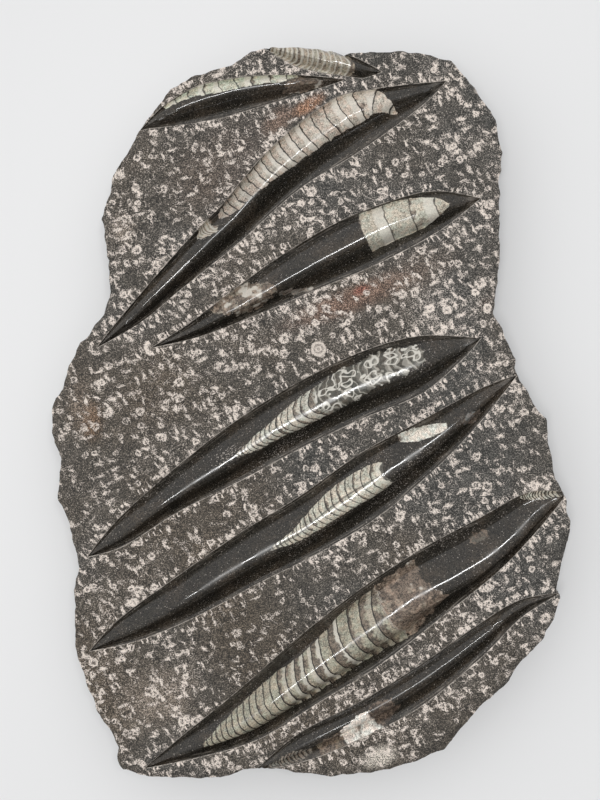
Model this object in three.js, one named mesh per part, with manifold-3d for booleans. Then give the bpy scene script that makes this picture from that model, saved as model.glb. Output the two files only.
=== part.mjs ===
// A slab of dark Moroccan limestone with a shoal of straight-shelled cephalopod fossils (orthoceras) in it.
//
// The slab is one piece of stone. Each fossil lies in a boat-shaped hollow that was ground and polished
// into the top, and its shell is left standing as a ridge along the middle of that hollow. The shells are
// part of the rock they lie in, so the slab, the hollows and the ridges are one solid.
//
// Millimetres, +Z up. The slab lies on its sawn underside at z = 0, its length runs along Y, and the origin
// is at the middle of its footprint.

import * as THREE from 'three';
import Module from 'manifold-3d';

const stoneTop = 28.5; // height of the pecked stone between the hollows
const shellProud = 1.5; // how far the tallest shells stand above the pecked stone
const hollowLip = 0.6; // sharp step at the rim of every hollow
const hollowLength = 22; // stations along a hollow
const hollowWidth = 6; // stations across a hollow
const shellLength = 20; // stations along a shell
const shellWidth = 6; // stations across a shell
const tipCut = 0.015; // share of a hollow's length that is blunted at each tip
const shellEndGap = 0.07; // share of a hollow's length left without a shell at each tip
const tipTaper = 0.55; // power of the sine that thins hollows and shells towards their tips
const floorRoundness = 0.8; // power of the parabola across a hollow's floor
const crestSharpness = 1.7; // power of a shell's cross-section: lower is sharper
const cutHeight = 10; // how far the cutting solids reach above the stone
const rootDepth = 4; // how far a shell's solid reaches below the floor of its hollow
const footSink = 1; // how far a shell's foot starts below the floor, so the two solids overlap

// Edge of the slab seen from above, clockwise from the left: rough straight breaks and small chips.
const slabEdge = [
  [-91, 84], [-87, 97], [-86, 103], [-79, 114], [-72, 127], [-61, 140], [-52, 146], [-34, 151], [-26, 157],
  [-17, 159], [-5, 159], [10, 157], [15, 155], [26, 157], [40, 157], [52, 156], [61, 153], [72, 140],
  [81, 127], [83, 113], [82, 92], [83, 83], [82, 65], [80, 43], [89, 23], [88, 19], [102, -3], [106, -29],
  [111, -35], [113, -47], [111, -61], [107, -77], [109, -81], [106, -90], [101, -99], [92, -108],
  [87, -117], [74, -128], [65, -138], [58, -147], [46, -152], [26, -157], [4, -159], [-5, -157],
  [-29, -155], [-39, -159], [-70, -159], [-82, -156], [-84, -150], [-83, -146], [-94, -129], [-102, -103],
  [-103, -78], [-101, -69], [-105, -49], [-110, -38], [-109, -20], [-113, -9], [-112, 3], [-102, 27],
  [-90, 43], [-87, 53], [-88, 67],
];

// The broken side bulges between the sawn underside and the top: height, and size against the slab's edge.
const sideRings = [
  { z: 0, grow: 0.965 },
  { z: 5, grow: 0.985 },
  { z: 13, grow: 1 },
  { z: stoneTop - 2, grow: 1 },
  { z: stoneTop, grow: 0.99 },
];

// Each hollow runs between two sharp tips, along a far rim (towards +Y) and a near rim.
// depth is its deepest point below the stone, ridge is where the shell's crest runs, from 0 at the far rim
// to 1 at the near rim, and width is the shell's share of the hollow's width.
const hollows = [
  {
    far: [[-24, 161], [-10, 162], [5, 160], [15, 156], [24, 152], [31, 148]],
    near: [[-24, 161], [-13, 154], [-5, 150], [6, 146], [16, 143], [24, 144], [31, 148]],
    depth: 3.5, ridge: 0.4, width: 0.8,
  },
  {
    far: [[-74, 123], [-64, 133], [-48, 142], [-26, 146], [-5, 147], [16, 146]],
    near: [[-74, 123], [-57, 125], [-39, 128], [-22, 133], [-5, 138], [16, 146]],
    depth: 3.5, ridge: 0.42, width: 0.66,
  },
  {
    far: [
      [-93, 28], [-81, 43], [-63, 64], [-46, 83], [-26, 107],
      [-5, 127], [13, 138], [39, 142], [59, 144],
    ],
    near: [[-93, 28], [-74, 39], [-57, 53], [-31, 74], [-5, 97], [22, 114], [48, 133], [59, 144]],
    depth: 6, ridge: 0.44, width: 0.62,
  },
  {
    far: [[-69, 28], [-52, 39], [-31, 55], [-11, 69], [13, 83], [39, 93], [56, 96], [74, 93]],
    near: [[-69, 28], [-48, 33], [-22, 43], [4, 54], [30, 65], [56, 79], [74, 93]],
    depth: 6, ridge: 0.45, width: 0.62,
  },
  {
    far: [[-97, -63], [-83, -46], [-57, -23], [-31, -3], [-5, 13], [22, 26], [48, 33], [74, 32]],
    near: [
      [-97, -63], [-81, -58], [-57, -43], [-31, -30], [-5, -16],
      [22, -3], [48, 8], [65, 22], [74, 32],
    ],
    depth: 6.5, ridge: 0.47, width: 0.64,
  },
  {
    far: [
      [-96, -104], [-83, -90], [-57, -71], [-31, -53], [-5, -37],
      [22, -18], [48, -4], [74, 10], [90, 16],
    ],
    near: [
      [-96, -104], [-74, -99], [-48, -88], [-22, -74], [4, -61],
      [30, -45], [56, -23], [74, -4], [90, 16],
    ],
    depth: 7, ridge: 0.5, width: 0.62,
  },
  {
    far: [
      [-72, -155], [-57, -142], [-31, -121], [-5, -98], [22, -77],
      [48, -60], [74, -46], [95, -35], [112, -35],
    ],
    near: [
      [-72, -155], [-48, -150], [-22, -142], [4, -126], [30, -110],
      [56, -90], [82, -69], [100, -50], [112, -35],
    ],
    depth: 7.5, ridge: 0.52, width: 0.7,
  },
  {
    far: [[-25, -157], [-5, -140], [22, -126], [48, -110], [74, -92], [91, -82], [108, -79]],
    near: [[-25, -157], [0, -151], [22, -142], [48, -128], [74, -107], [91, -90], [108, -79]],
    depth: 5, ridge: 0.47, width: 0.66,
  },
];

const wasm = await Module();
wasm.setup();

function toSolid(positions, triangles) {
  return new wasm.Manifold(new wasm.Mesh({
    numProp: 3,
    vertProperties: new Float32Array(positions.flat()),
    triVerts: new Uint32Array(triangles.flat()),
  }));
}

// Rings of the slab's edge stacked up and capped top and bottom.
// The side rings make the slab as it was before the hollows were ground.
function edgeStack(rings) {
  const count = slabEdge.length;
  const positions = rings.flatMap(({ z, grow }) => slabEdge.map(([x, y]) => [x * grow, y * grow, z]));
  const triangles = [];
  for (let ring = 0; ring < rings.length - 1; ring += 1) {
    for (let i = 0; i < count; i += 1) {
      const a = ring * count + i;
      const b = ring * count + (i + 1) % count;
      triangles.push([a, a + count, b], [b, a + count, b + count]);
    }
  }
  const cap = THREE.ShapeUtils.triangulateShape(slabEdge.map(([x, y]) => new THREE.Vector2(x, y)), []);
  const lastRing = (rings.length - 1) * count;
  for (const [a, b, c] of cap) {
    const turnsLeft = THREE.ShapeUtils.area([a, b, c].map((k) => new THREE.Vector2(...slabEdge[k]))) > 0;
    const [p, q, r] = turnsLeft ? [a, b, c] : [a, c, b];
    triangles.push([p + lastRing, q + lastRing, r + lastRing], [p, r, q]);
  }
  return toSolid(positions, triangles);
}

// A closed solid between an upper and a lower sheet on the same grid of stations, rows by columns.
function sheetSolid(rows, columns, upperPoint, lowerPoint) {
  const stride = columns + 1;
  const sheet = (rows + 1) * stride;
  const positions = [];
  for (const point of [upperPoint, lowerPoint]) {
    for (let i = 0; i <= rows; i += 1) {
      for (let j = 0; j <= columns; j += 1) positions.push(point(i / rows, j / columns));
    }
  }
  const at = (i, j) => i * stride + j;
  const triangles = [];
  const wall = (a, b) => triangles.push([a, b, a + sheet], [b, b + sheet, a + sheet]);
  for (let i = 0; i < rows; i += 1) {
    for (let j = 0; j < columns; j += 1) {
      const [a, b, c, d] = [at(i, j), at(i, j + 1), at(i + 1, j + 1), at(i + 1, j)];
      triangles.push([a, b, c], [a, c, d]);
      triangles.push([a + sheet, c + sheet, b + sheet], [a + sheet, d + sheet, c + sheet]);
    }
    wall(at(i, 0), at(i + 1, 0));
    wall(at(i + 1, columns), at(i, columns));
  }
  for (let j = 0; j < columns; j += 1) {
    wall(at(0, j + 1), at(0, j));
    wall(at(rows, j), at(rows, j + 1));
  }
  return toSolid(positions, triangles);
}

// A point over the hollow, along from tip to tip and across from the far rim to the near rim.
function hollowPlan({ far, near }) {
  const farRim = new THREE.SplineCurve(far.map(([x, y]) => new THREE.Vector2(x, y)));
  const nearRim = new THREE.SplineCurve(near.map(([x, y]) => new THREE.Vector2(x, y)));
  return (along, across) => farRim.getPointAt(along).lerp(nearRim.getPointAt(along), across);
}

const blunted = (share, cut) => cut + share * (1 - 2 * cut);
const swell = (along) => Math.sin(Math.PI * along) ** tipTaper; // 0 at the tips, 1 over the middle

// The polished floor: steep at both rims, deepest between the rim and the shell.
function hollowFloor(hollow, along, across) {
  const bowl = (1 - (2 * across - 1) ** 2) ** floorRoundness;
  return stoneTop - hollowLip - (hollow.depth - hollowLip) * swell(along) * bowl;
}

function hollowCutter(hollow) {
  const plan = hollowPlan(hollow);
  const place = (share, across, height) => {
    const along = blunted(share, tipCut);
    const { x, y } = plan(along, across);
    return [x, y, height(along, across)];
  };
  return sheetSolid(
    hollowLength, hollowWidth,
    (share, across) => place(share, across, () => stoneTop + cutHeight),
    (share, across) => place(share, across, (along, f) => hollowFloor(hollow, along, f)),
  );
}

// The shell left standing in a hollow: a ridge with a narrow crest that dies out towards both tips.
function shellRidge(hollow) {
  const plan = hollowPlan(hollow);
  const place = (share, side, height) => {
    const along = blunted(share, shellEndGap);
    const across = hollow.ridge + (side - 0.5) * hollow.width * swell(along);
    const { x, y } = plan(along, across);
    return [x, y, height(along, side)];
  };
  const crest = stoneTop + shellProud;
  const foot = stoneTop - hollow.depth - rootDepth;
  return sheetSolid(
    shellLength, shellWidth,
    (share, side) => place(share, side, (along, s) => {
      const floor = stoneTop - hollow.depth * swell(along) - footSink;
      const dome = 1 - Math.abs(2 * s - 1) ** crestSharpness;
      return floor + (crest - floor) * swell(along) * dome;
    }),
    (share, side) => place(share, side, () => foot),
  );
}

// Shells that run out at the slab's edge are broken off flush with it.
function fossilSlab() {
  const topRing = sideRings[sideRings.length - 1];
  const insideEdge = edgeStack([{ ...topRing, z: sideRings[1].z }, { ...topRing, z: stoneTop + cutHeight }]);
  const blank = edgeStack(sideRings);
  const ground = hollows.reduce((stone, hollow) => stone.subtract(hollowCutter(hollow)), blank);
  return hollows.reduce((stone, hollow) => stone.add(shellRidge(hollow).intersect(insideEdge)), ground);
}

function toGeometry(solid) {
  const { vertProperties, triVerts } = solid.getMesh();
  const geometry = new THREE.BufferGeometry();
  geometry.setAttribute('position', new THREE.BufferAttribute(vertProperties, 3));
  geometry.setIndex(new THREE.BufferAttribute(triVerts, 1));
  geometry.computeVertexNormals();
  return geometry;
}

const limestone = new THREE.MeshStandardMaterial({ color: 0x45413d, roughness: 0.7, metalness: 0 });
const fossilSlabMesh = new THREE.Mesh(toGeometry(fossilSlab()), limestone);
fossilSlabMesh.name = 'fossil_slab';

const part = new THREE.Group();
part.name = 'orthoceras_fossil';
part.add(fossilSlabMesh);

export default part;
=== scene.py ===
"""Looks of the orthoceras fossil slab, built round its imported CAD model.

The slab is one closed mesh. Its top is triangulated in plan, with edges that follow the slab's broken
edge and every rim, valley and crest of the ground hollows, then lifted to its real relief. Numbers worked
out for each vertex, such as the distance to a rim or the count of shell chambers, are kept as attributes,
and one procedural stone material reads them.

Plan positions and sizes are millimetres in the row frame, as in the CAD. MM turns them into metres.
"""

import math

import bpy
import numpy as np
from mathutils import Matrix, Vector, kdtree, noise
from mathutils.geometry import delaunay_2d_cdt


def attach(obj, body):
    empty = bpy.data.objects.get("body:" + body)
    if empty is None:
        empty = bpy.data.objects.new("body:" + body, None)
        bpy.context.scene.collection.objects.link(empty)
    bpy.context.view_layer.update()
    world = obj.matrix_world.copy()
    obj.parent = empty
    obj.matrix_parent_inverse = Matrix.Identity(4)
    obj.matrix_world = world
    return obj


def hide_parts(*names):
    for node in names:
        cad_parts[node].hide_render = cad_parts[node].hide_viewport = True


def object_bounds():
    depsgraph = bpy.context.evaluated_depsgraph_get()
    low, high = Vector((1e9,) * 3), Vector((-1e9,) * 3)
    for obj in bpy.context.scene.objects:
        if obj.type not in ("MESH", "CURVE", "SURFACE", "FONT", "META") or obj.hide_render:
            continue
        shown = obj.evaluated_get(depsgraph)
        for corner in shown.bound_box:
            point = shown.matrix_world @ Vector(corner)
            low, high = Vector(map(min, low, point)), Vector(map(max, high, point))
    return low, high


MM = 0.001
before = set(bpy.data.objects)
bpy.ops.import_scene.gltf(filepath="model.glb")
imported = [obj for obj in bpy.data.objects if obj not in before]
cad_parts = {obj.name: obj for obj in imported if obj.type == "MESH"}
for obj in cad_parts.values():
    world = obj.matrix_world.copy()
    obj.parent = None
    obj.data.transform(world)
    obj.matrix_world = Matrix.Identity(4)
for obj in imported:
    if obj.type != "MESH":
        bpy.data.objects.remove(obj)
cad_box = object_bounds()

# ---------------------------------------------------------------------------------------------------
# Driving dimensions, in millimetres
# ---------------------------------------------------------------------------------------------------

SHELL_PROUD = 1.5  # how far the tallest crests stand above the pecked stone
STONE_TOP = cad_box[1][2] / MM - SHELL_PROUD  # height of the pecked stone
EDGE_INSET = 0.1  # the top face stops this far inside the slab's widest outline
CHIP_DEPTH = 2.4  # how deep the scars on the broken side are
HOLLOW_LIP = 0.5  # sharp step at the rim of a hollow
FAR_DEPTH = 0.4  # depth of the far valley as a share of the near valley's
NEAR_VALLEY = 0.52  # where the near valley lies between the crest and the near rim
FAR_ROUNDING = 0.45  # how much of the ridge's flank towards the far rim is rounded
NEAR_ROUNDING = 0.75
TIP_TAPER = 0.6  # power of the sine that thins a hollow towards its tips
TIP_CREST = 0.6  # depth of the crest at the tips as a share of the far valley's
LEFT_RISE = 0.22  # share of the length over which the crest rises from the left tip
RIGHT_RISE = 0.2
FAR_WALL_CURVE = 1.2  # power that makes a hollow's far wall steeper towards its rim
NEAR_WALL_CURVE = 1.7  # power that makes its near wall flatter towards its rim
EDGE_ROUNDING = 3.2  # how far from the slab's edge the top face starts to fall away
BRUISE_DEPTH = 0.3  # of the peck marks
RIM_BRUISE = 0.25  # depth of the bruised strip outside the rims
HOLLOW_LENGTH = 200  # taken for every hollow by the pale lines along it: grinding marks, and near the rims a painted reflection

STONE_STEP = 0.86  # vertex spacing on the pecked stone
RIM_STEP = 1.05  # vertex spacing along the hollows
ACROSS_STEP = 1.1  # vertex spacing across the hollows
EDGE_STEP = 0.95  # vertex spacing along the slab's edge
BOTTOM_STEP = 9  # vertex spacing on the sawn underside
CLEAR_OF_RIM = 0.5  # stone vertices keep this far from rims and edges
JITTER = 0.16  # how far stone vertices stray from their grid
SPINE_POINTS = 48  # along the middle line of each shell
SPINE_REACH = 12  # how far that line runs on past both ends
SHARP_ANGLE = 38  # degrees between two faces from which their edge is drawn sharp

PECK_AREA = 18  # square millimetres of stone for each bruise that lowers the surface
RIM_MARKS = 4  # marks this near a rim stand square to it
LEFT_LEAN = 48  # lean in degrees of the marks on the left of the slab
RIGHT_LEAN = -50
LEFT_PART = -40  # x where the left part of the slab ends
STROKES = [(38, 3.9), (68, 4.3), (-18, 4.7)]  # clockwise lean in degrees and spacing of each layer
PIT_SPACING = 6.4  # between the pits of a pointed chisel
PIT_SHIFT = 31.0  # moves the pits off the strokes' own pattern
RIM_STROKE_SPACING = 2.1
CRINOID = (3.5, 27.4, 28.3)  # a round stem section in the stone
SEED = 284

FINE, GRAIN, MOTTLE = 0.5, 1.1, 4.5  # sizes of the three grains that all the stone shares
STONE_IOR = 1.46

CAMERA = (-4.57, 5.2, 528.5)
LENS = 51.75  # focal length on a sensor 36 mm wide
LIGHT_SIDE = (-0.6, 0.6, 0.53)  # where the room is brightest
DIM_SIDE = 0.08
BRIGHT_SIDE = 1.03
LAMP = dict(place=(-15, 25, 900), turn=40, width=440, depth=26, watts=3.5)
FLOOR_HALF = 6000
FLOOR_GREY = 0.74

# Share of the way down the broken side, and millimetres outside the top face's edge.
SIDE_RINGS = [
    (0.05, 0.35), (0.15, 0.5), (0.29, 0.4), (0.43, 0.1), (0.57, -0.4), (0.7, -1.2), (0.82, -2.2),
    (0.92, -3.3), (1.0, -4.4),
]

# Edge of the slab seen from above, clockwise from the left.
SLAB_EDGE = [
    (-91, 84), (-87, 97), (-86, 103), (-79, 114), (-72, 127), (-61, 140), (-52, 146), (-34, 151),
    (-26, 157), (-17, 159), (-5, 159), (10, 157), (15, 155), (26, 157), (40, 157), (52, 156),
    (61, 153), (72, 140), (81, 127), (83, 113), (82, 92), (83, 83), (82, 65), (80, 43), (89, 23),
    (88, 19), (102, -3), (106, -29), (111, -35), (113, -47), (111, -61), (107, -77), (109, -81),
    (106, -90), (101, -99), (92, -108), (87, -117), (74, -128), (65, -138), (58, -147), (46, -152),
    (26, -157), (4, -159), (-5, -157), (-29, -155), (-39, -159), (-70, -159), (-82, -156),
    (-84, -150), (-83, -146), (-94, -129), (-102, -103), (-103, -78), (-101, -69), (-105, -49),
    (-110, -38), (-109, -20), (-113, -9), (-112, 3), (-102, 27), (-90, 43), (-87, 53), (-88, 67),
]

# The hollows: far and near rims from tip to tip, greatest depth, where the far valley lies between the far
# rim (0) and the crest (1), and where the crest runs between the far rim (0) and the near rim (1), at even
# steps from the left tip to the right tip. Some have a far_depth or a near_valley of their own.
HOLLOWS = {
    "crown": {
        "far": [(-24, 161), (-10, 162), (5, 160), (15, 156), (24, 152), (31, 148)],
        "near": [(-24, 161), (-13, 154), (-5, 150), (6, 147.5), (16, 146.2), (23, 145.5), (31, 148)],
        "depth": 3.0, "far_wall": 0.1, "crest": [0.5, 0.5, 0.5, 0.5, 0.6],
    },
    "shoulder": {
        "far": [(-74, 123), (-64, 133), (-48, 142), (-26, 146), (-5, 146.5), (15, 144.6)],
        "near": [(-74, 123), (-57, 125), (-39, 128), (-22, 133), (-5, 138), (15, 144.6)],
        "depth": 3.8, "far_wall": 0.1, "crest": [0.5, 0.36, 0.3, 0.36, 0.55],
    },
    "upper": {
        "far": [
            (-93, 28), (-81, 43), (-63, 64), (-48, 80.5), (-38.5, 90), (-29.5, 101), (-20, 112),
            (-8, 123), (3, 131.5), (13, 137.6), (25, 140), (39, 142), (59, 144),
        ],
        "near": [
            (-93, 28), (-74, 39), (-57, 53), (-31, 74), (-5, 97), (22, 114), (48, 133), (59, 144),
        ],
        "depth": 6.0, "far_wall": 0.08, "crest": [0.6, 0.5, 0.5, 0.46, 0.42, 0.38, 0.34, 0.3, 0.5],
    },
    "second": {
        "far": [
            (-69, 28), (-52, 39), (-31, 55), (-11, 69), (13, 83), (39, 93), (56, 96), (74, 93),
        ],
        "near": [(-69, 28), (-48, 33), (-22, 43), (4, 54), (30, 65), (56, 79), (74, 93)],
        "depth": 6.0, "far_wall": 0.12, "crest": [0.6, 0.58, 0.5, 0.42, 0.55],
    },
    "middle": {
        "far": [
            (-97, -63), (-83, -46), (-57, -23), (-31, -3), (-5, 13), (22, 26), (48, 33), (74, 32),
        ],
        "near": [
            (-97, -63), (-81, -58), (-57, -43), (-31, -30), (-5, -16), (22, -3), (48, 8), (65, 22),
            (74, 32),
        ],
        "depth": 6.5, "far_wall": 0.24, "crest": [0.58, 0.6, 0.54, 0.56, 0.6],
    },
    "lower": {
        "far": [
            (-96, -104), (-83, -90), (-57, -71), (-31, -53), (-5, -37), (22, -18), (48, -4), (74, 10),
            (90, 16),
        ],
        "near": [
            (-96, -104), (-74, -99), (-48, -88), (-22, -74), (4, -61), (30, -45), (56, -23), (74, -4),
            (90, 16),
        ],
        "depth": 7.0, "far_wall": 0.26, "crest": [0.6, 0.56, 0.56, 0.56, 0.55],
    },
    "largest": {
        "far": [
            (-72, -155), (-57, -142), (-31, -121), (-5, -98), (22, -77), (48, -60), (74, -46),
            (95, -35), (112, -35),
        ],
        "near": [
            (-72, -155), (-48, -150), (-22, -142), (4, -126), (30, -110), (56, -90), (82, -69),
            (100, -50), (112, -35),
        ],
        "depth": 6.8, "far_wall": 0.32, "far_depth": 0.62, "near_valley": 0.66,
        "crest": [0.62, 0.62, 0.62, 0.62, 0.6, 0.62, 0.78, 0.82, 0.7],
    },
    "foot": {
        "far": [(-25, -157), (-5, -140), (22, -126), (48, -110), (74, -92), (91, -82), (108, -79)],
        "near": [(-25, -157), (0, -151), (22, -142), (48, -128), (74, -107), (91, -90), (108, -79)],
        "depth": 4.2, "far_wall": 0.3, "crest": [0.5, 0.42, 0.38, 0.4, 0.42, 0.42, 0.5],
    },
}


# ---------------------------------------------------------------------------------------------------
# Colours, shells and patches
# ---------------------------------------------------------------------------------------------------


def srgb(red, green, blue):
    """A linear colour from the 0 to 255 values that a screen shows."""
    share = [value / 255 for value in (red, green, blue)]
    return tuple(s / 12.92 if s <= 0.04045 else ((s + 0.055) / 1.055) ** 2.4 for s in share)


CREAM = srgb(147, 142, 128)
GREY_CREAM = srgb(176, 171, 159)
PINK_CREAM = srgb(186, 175, 164)
SILVER = srgb(170, 166, 156)
MUD_BROWN = srgb(136, 122, 110)

STONE_DARK = srgb(78, 76, 72)
STONE_BROWN = srgb(90, 80, 68)
PECK_PALE = srgb(226, 214, 203)
RIM_PALE = srgb(190, 181, 171)
POLISHED_BLACK = srgb(42, 39, 34)
POLISHED_BROWN = srgb(60, 53, 45)
CRUMB_PALE = srgb(158, 150, 142)
GRINDING_AND_REFLECTION_PALE = srgb(150, 142, 132)
CALCITE_STAIN = srgb(96, 90, 82)
CALCITE_WHITE = srgb(208, 203, 192)
MUD_DARK = srgb(46, 40, 35)
MUD_PALE = srgb(122, 107, 94)
WALL_DARK = srgb(34, 31, 28)
WALL_PALE = srgb(200, 196, 184)
NET_PALE = srgb(204, 200, 190)
TUBE_DARK = srgb(62, 59, 54)
BROKEN_DARK = srgb(64, 60, 56)
BROKEN_PALE = srgb(116, 106, 96)
SAWN_DARK = srgb(70, 67, 64)
SAWN_PALE = srgb(96, 91, 86)

# What a shell or a patch is like unless it says otherwise. chambers are the first and last chamber
# lengths, here longer than any patch, bulge is how far the chamber walls bow towards the narrow end as a
# share of the half width, and lean how far they swing towards it at the near side. wall is how dark the
# walls are, or how pale if below 0. mud is how much brown rock fills the first and last chambers, net how
# much of the pattern is a net of pale lines, tube whether a dark tube runs up the middle, and fade how
# bright the narrow end is.
PLAIN_PATCH = dict(chambers=(60, 60), bulge=0, lean=0, wall=0, mud=(0, 0), net=0, tube=False, fade=1)

# The shells and the other patches in the hollows. spine runs from the narrow end: x, y, half width.
# scramble is how broken the pattern is.
SHELLS = {
    "crown": [
        dict(tint=srgb(150, 141, 128), chambers=(1.6, 3.2), bulge=-0.5, wall=-0.9, mud=(0.3, 0.1),
             scramble=0.3,
             spine=[(-19, 158.6, 3), (-8.9, 155.6, 5), (-0.2, 153.4, 6), (8.5, 151.2, 6), (15.5, 149.6, 5)]),
    ],
    "shoulder": [
        dict(tint=srgb(182, 182, 168), chambers=(6.5, 7.6), bulge=0.2, wall=0.8, mud=(-0.2, -0.2),
             scramble=0.25,
             spine=[(-64, 132, 0.4), (-52.4, 138.2, 1.9), (-41.5, 141.2, 3.0), (-30.7, 143.6, 3.0),
                    (-19.8, 145, 2.3), (-11.1, 145.6, 2.2), (-5.9, 146.4, 0.5)]),
        dict(tint=srgb(112, 101, 90), mud=(0.4, 0.6), scramble=1,
             spine=[(-12, 140.6, 1.2), (-6, 142.2, 3), (1, 142.8, 2.4), (5, 143.4, 0.8)]),
    ],
    "upper": [
        dict(tint=PINK_CREAM, chambers=(3.8, 7.8), bulge=0.2, wall=1, mud=(-0.3, -0.3), scramble=0.14,
             fade=0.62,
             spine=[(-40, 85.2, 1.2), (-36.4, 87.4, 2.9), (-27, 97.3, 4.2), (-21.5, 102.6, 4.9),
                    (-13.8, 109.8, 6.1), (-5.6, 116.8, 6.9), (2.1, 122.6, 7.2), (10, 128, 7.4),
                    (18, 132.6, 7.8), (25.5, 135.2, 6.6), (32, 133.5, 3.4), (37.7, 130.6, 0.5)]),
        dict(tint=srgb(140, 130, 118), chambers=(1.5, 1.6), bulge=0.6, wall=-0.8, mud=(0.3, 0.4),
             scramble=0.5, spine=[(-48, 76.5, 2.0), (-45, 79.6, 3.4), (-42, 82.6, 2.6)]),
    ],
    "second": [
        dict(tint=GREY_CREAM, chambers=(11.5, 10.5), bulge=0.16, wall=0.8, mud=(-0.2, -0.2), scramble=0.05,
             spine=[(23.9, 78.2, 8.4), (36.5, 83.4, 7.8), (46.5, 86.6, 6.8), (54.5, 89.1, 4.4),
                    (60.2, 90, 0.8)]),
        dict(tint=srgb(134, 123, 112), bulge=0.3, mud=(0.2, 0.5), scramble=1,
             spine=[(-43, 44.4, 0.8), (-36, 47, 4.6), (-29, 49.5, 6), (-22, 52, 4.8), (-15, 54, 1.2)]),
        dict(tint=srgb(120, 114, 108), scramble=0.6,
             spine=[(-14, 51.6, 0.5), (-7, 52.8, 1.2), (1, 53.8, 0.3)]),
    ],
    "middle": [
        dict(tint=SILVER, chambers=(1.7, 4.6), bulge=0.75, wall=1, mud=(0, 0.25), scramble=0.15,
             spine=[(-32.4, -19, 0.4), (-23.6, -13.7, 3.0), (-16, -8.4, 3.8), (-6.8, -2.5, 5.5),
                    (0.8, 2.4, 6.4), (5.5, 5.2, 6.8)]),
        dict(tint=srgb(74, 71, 65), chambers=(3.6, 4.6), bulge=0.6, wall=-0.6, mud=(-0.3, 0.1),
             scramble=0.9, net=1,
             spine=[(5.5, 5.2, 6.8), (11.8, 9.2, 7.1), (22.6, 15, 6.9), (33.4, 20.2, 6.5), (43, 23.4, 5.4),
                    (48, 24.6, 3.6), (50.6, 24.9, 0.8)]),
    ],
    "lower": [
        dict(tint=GREY_CREAM, chambers=(1.9, 4.7), bulge=0.5, wall=0.9, mud=(0.1, -0.1), scramble=0.1,
             tube=True,
             spine=[(-18, -60, 0.4), (-5.7, -53.2, 2.9), (1, -47.8, 4.3), (8, -42, 5.4),
                    (16.9, -35.5, 6.3), (27.4, -29.4, 6.4), (33.5, -26.2, 5)]),
        dict(tint=srgb(196, 192, 184), mud=(-0.2, -0.2), scramble=0.2,
             spine=[(38.5, -11.2, 1.8), (44, -10.4, 2.8), (52, -8.2, 2.7), (59, -6.2, 1.2)]),
        dict(tint=srgb(104, 102, 100), mud=(0.1, 0.3), scramble=0.3,
             spine=[(66.5, -5, 0.8), (70, -2.6, 2.2), (74, 0.4, 0.8)]),
    ],
    "largest": [
        dict(tint=CREAM, chambers=(2.5, 6.7), bulge=0.32, lean=0.15, wall=1.5, mud=(-0.25, 0.58),
             scramble=0.04,
             spine=[(-46.7, -145.2, 0.8), (-35.9, -138.7, 4.3), (-26.9, -132.9, 6.3), (-11.2, -122, 8.5),
                    (4.4, -111.2, 9.3), (22.2, -96.5, 12), (35.5, -87.5, 13)]),
        dict(tint=MUD_BROWN, bulge=0.35, mud=(0.1, 0.5), scramble=0.6,
             spine=[(35.5, -87.5, 13), (44, -80, 12.5), (51.4, -73, 10.6)]),
        dict(tint=GREY_CREAM, chambers=(1.3, 1.6), bulge=0.8, wall=0.9, mud=(0.2, 0.3), scramble=0.2,
             spine=[(90, -37.2, 0.4), (96, -36.4, 2.0), (102, -35.6, 2.6), (109, -35, 1.6)]),
        dict(tint=srgb(86, 80, 73), mud=(0.3, 0.6), scramble=1,
             spine=[(70, -56.5, 1), (73.5, -54.5, 2.4), (77, -52.5, 1)]),
    ],
    "foot": [
        dict(tint=srgb(204, 198, 192), bulge=0.1, mud=(-0.2, -0.2), scramble=0.4,
             spine=[(14.5, -142.5, 4.6), (21, -138, 5.4), (27.5, -133.6, 5.2)]),
        dict(tint=srgb(110, 98, 86), bulge=0.3, mud=(0.5, 0.6), scramble=0.6,
             spine=[(5, -148.5, 3.6), (10, -145.5, 4.6), (14.5, -142.5, 4.8)]),
        dict(tint=srgb(66, 57, 51), bulge=0.3, mud=(0.3, 0.4), scramble=0.6,
             spine=[(27.5, -133.6, 5.2), (32, -130, 4.8), (36.5, -126.5, 3)]),
        dict(tint=srgb(120, 114, 106), chambers=(1.6, 1.8), bulge=0.7, wall=0.9, mud=(0.2, 0.3), scramble=0.2,
             spine=[(-18, -154.5, 0.8), (-11, -151.8, 2.2), (-4, -149, 2.4), (1, -147.5, 0.8)]),
    ],
}

# Patches where the pecked stone is stained or bruised: x, y, radius along, radius across, turn in degrees,
# strength, colour.
STAINS = [
    (-1, 133.5, 9, 3.2, 33, 0.8, srgb(160, 118, 90)),
    (-14, 127, 9, 5, 42, 0.55, srgb(140, 114, 98)),
    (-38, 108, 30, 16, 40, 0.22, srgb(124, 104, 92)),
    (18, 49, 32, 6, 22, 0.5, srgb(142, 108, 90)),
    (22, 53, 4, 2, 20, 0.6, srgb(150, 84, 68)),
    (44, 60, 22, 9, 25, 0.3, srgb(140, 122, 108)),
    (-95, -4, 5, 9, 0, 0.55, srgb(122, 92, 66)),
    (-100, 2, 6, 12, 0, 0.35, srgb(140, 122, 106)),
    (-82, 80, 6, 6, 0, 0.45, srgb(178, 164, 150)),
    (-66, -125, 20, 12, 30, 0.45, srgb(150, 136, 122)),
    (30, -150, 8, 5, 20, 0.9, srgb(196, 188, 176)),
    (77, 47, 4, 3.5, 0, 0.7, srgb(64, 52, 44)),
]

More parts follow.
